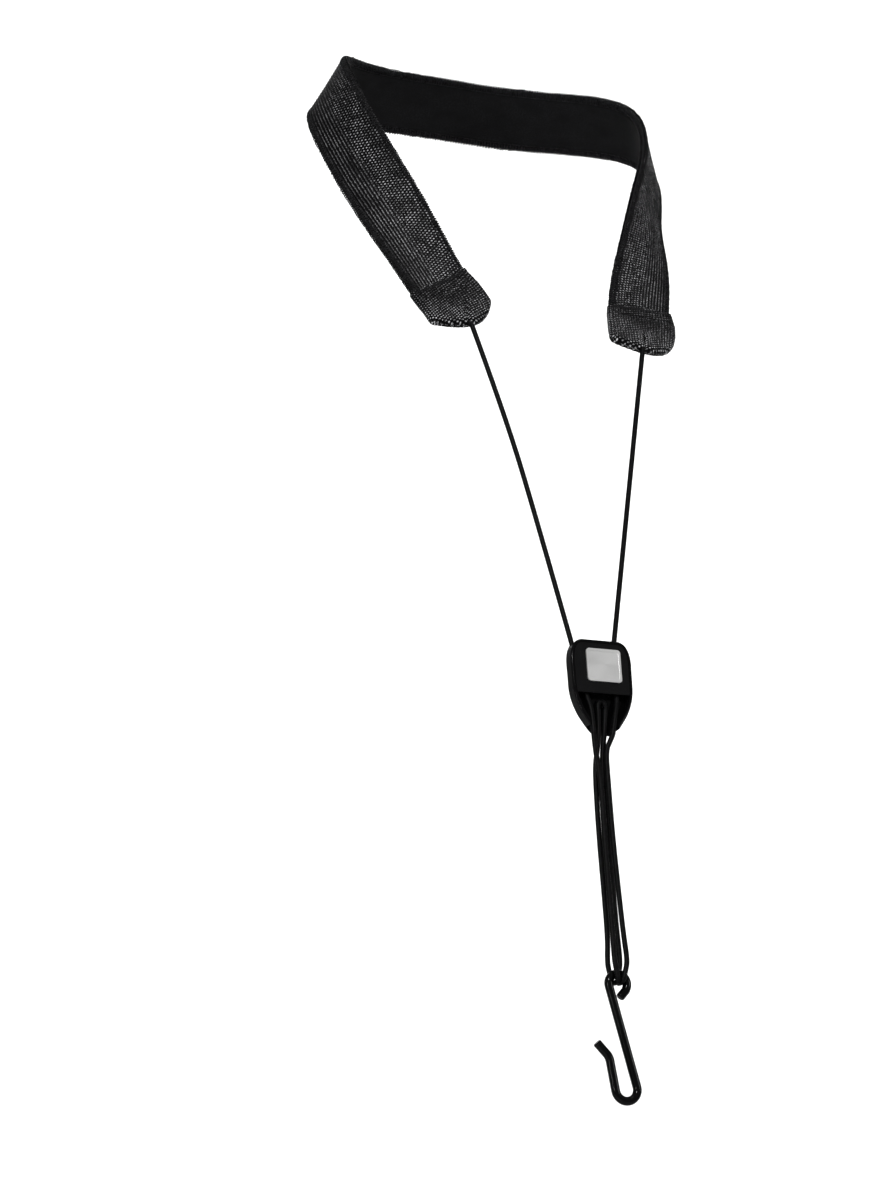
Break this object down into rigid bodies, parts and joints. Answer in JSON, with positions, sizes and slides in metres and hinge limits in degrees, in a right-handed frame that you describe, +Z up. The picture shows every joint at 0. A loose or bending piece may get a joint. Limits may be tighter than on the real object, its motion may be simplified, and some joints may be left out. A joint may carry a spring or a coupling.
{
  "type": "saxophone neck strap",
  "caption": "Padded webbing neck band with a sliding length adjuster on a doubled cord and a plastic-coated open wire hook that carries a saxophone by its strap ring.",
  "frame": {"origin": "middle of the band's inner face at the back of the neck, where the strap hangs on its wearer", "axes": "+X the wearer's left, -Y the wearer's front, +Z up, in the worn shape"},
  "size_m": [0.193, 0.3174, 0.4862],
  "materials": {
    "webbing": "black ribbed webbing with rows of shiny threads",
    "foam": "black closed-cell foam core",
    "lining": "matte black brushed lining",
    "thread": "black polyester sewing thread",
    "tab": "black woven end tab",
    "cord": "black braided cord, slightly glossy",
    "slider": "glossy black moulded plastic",
    "panel": "fine-grained matte black inlay",
    "plaque": "plain satin silver plaque",
    "steel": "bare steel wire, sealed in the coating",
    "coating": "glossy black dipped plastic coating"
  },
  "bodies": {
    "band": {"band_face": "webbing", "band_padding": "foam", "band_lining": "lining", "edge_stitching_neck_side": "thread", "edge_stitching_outer_side": "thread", "end_tab_left": "tab", "end_tab_right": "tab", "tab_seam_left": "thread", "tab_seam_right": "thread", "cord_end_knot_left": "cord", "cord_end_knot_right": "cord"},
    "drop": {"cord_upper_left": "cord", "cord_upper_right": "cord"},
    "slider": {"slider_body": "slider", "slider_panel": "panel", "slider_plaque": "plaque", "cord_slider_left": "cord", "cord_slider_right": "cord", "cord_slider_loop": "cord"},
    "strands": {"cord_strand_1": "cord", "cord_strand_2": "cord", "cord_strand_3": "cord", "cord_strand_4": "cord"},
    "hook_loops": {"cord_hook_loop_left": "cord", "cord_hook_loop_right": "cord"},
    "hook": {"hook_wire": "steel", "hook_coating": "coating"}
  },
  "joints": [
    {"name": "drop_swing", "type": "hinge", "parent": "band", "child": "drop", "pos_m": [0, -0.1709, -0.1287], "axis": [-1, 0, 0], "range_deg": [0, 60]},
    {"name": "slider_slide", "type": "slide", "parent": "drop", "child": "slider", "axis": [0, 0.4357, 0.9001], "range_m": [-0.12, 0.1], "deforming": ["cord_upper_left", "cord_upper_right"]},
    {"name": "strand_swing", "type": "hinge", "parent": "slider", "child": "strands", "pos_m": [0, -0.25607, -0.31181], "axis": [-1, 0, 0], "range_deg": [0, 50]},
    {"name": "hook_lift", "type": "slide", "parent": "strands", "child": "hook_loops", "axis": [0, -0.309, -0.9511], "range_m": [-0.06, 0.05], "deforming": ["cord_strand_1", "cord_strand_2", "cord_strand_3", "cord_strand_4"]},
    {"name": "hook_swing", "type": "hinge", "parent": "hook_loops", "child": "hook", "pos_m": [0, -0.29086, -0.4189], "axis": [0, -0.9511, 0.309], "range_deg": [-60, 60]}
  ],
  "couplings": [
    {"joint": "hook_lift", "follows": "slider_slide", "ratio": 0.5}
  ]
}
